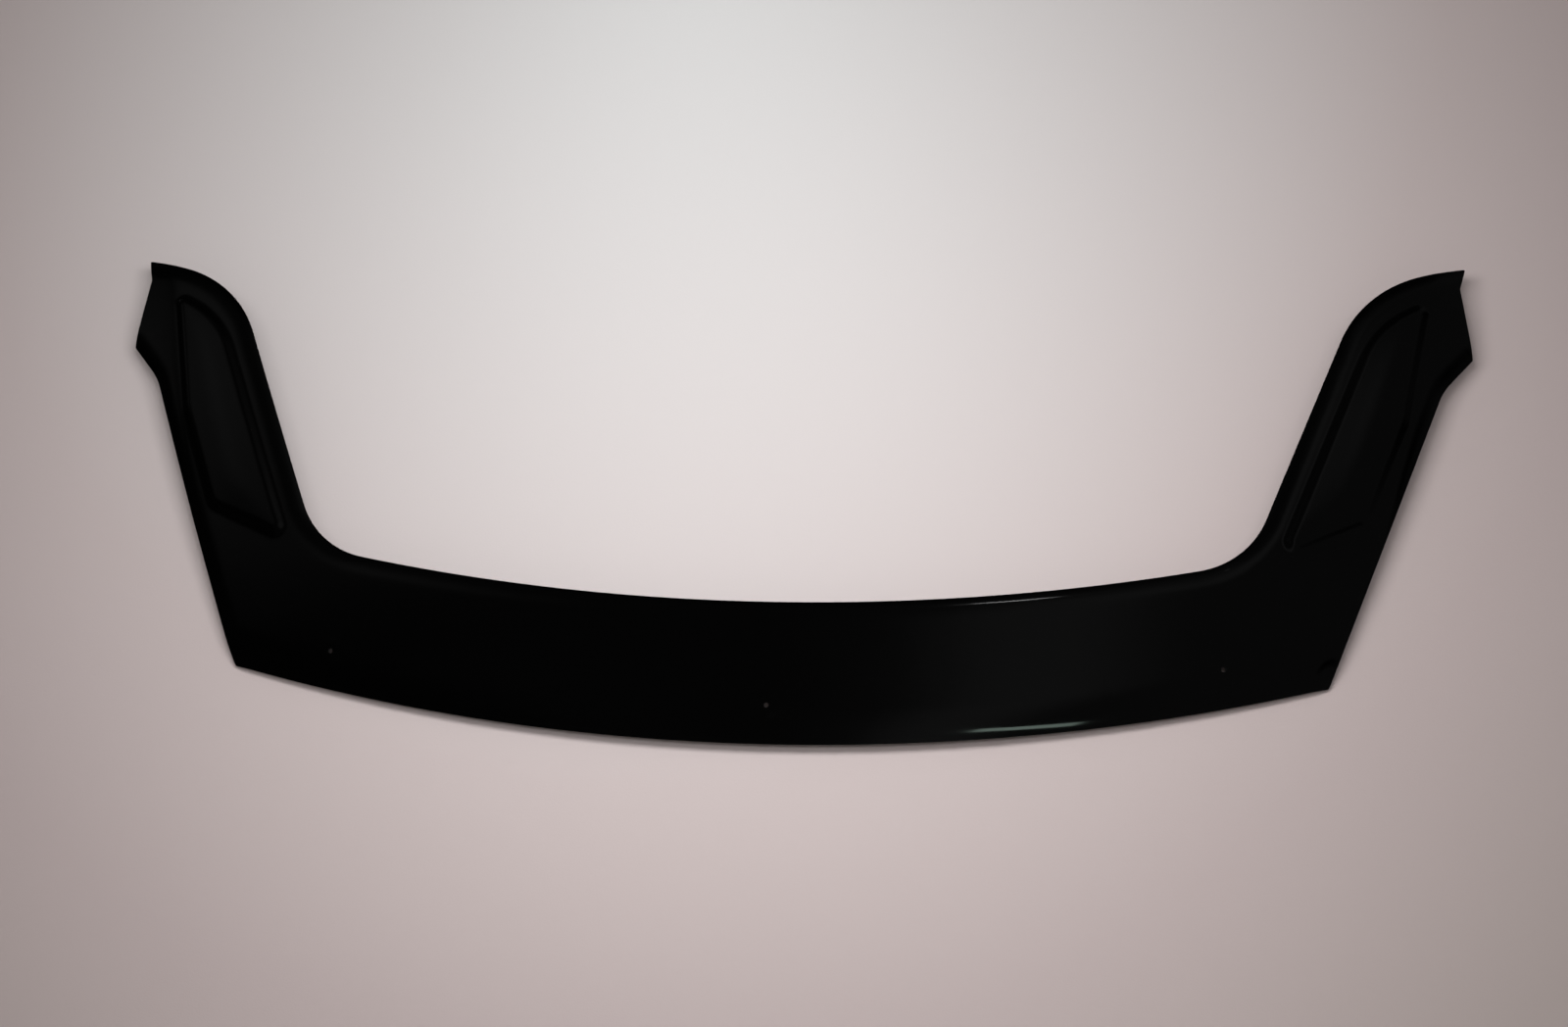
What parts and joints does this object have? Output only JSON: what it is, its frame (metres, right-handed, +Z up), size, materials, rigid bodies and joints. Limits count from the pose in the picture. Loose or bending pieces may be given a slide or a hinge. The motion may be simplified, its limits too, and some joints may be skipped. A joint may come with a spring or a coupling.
{
  "type": "hood bug deflector",
  "caption": "Wraparound hood shield formed from one dark acrylic sheet: a curved band across the nose with an upswept, panelled wing at each end.",
  "frame": {"origin": "middle of the centre fixing hole, on the back face of the sheet", "axes": "+X across the vehicle, +Z up the sheet as it hangs, +Y towards the vehicle, so the side that meets the wind looks to -Y"},
  "size_m": [1.4206, 0.052, 0.5388],
  "materials": {
    "acrylic": "high gloss black, polished as the cast sheet comes"
  },
  "bodies": {
    "root": {"shield": "acrylic"}
  },
  "joints": []
}
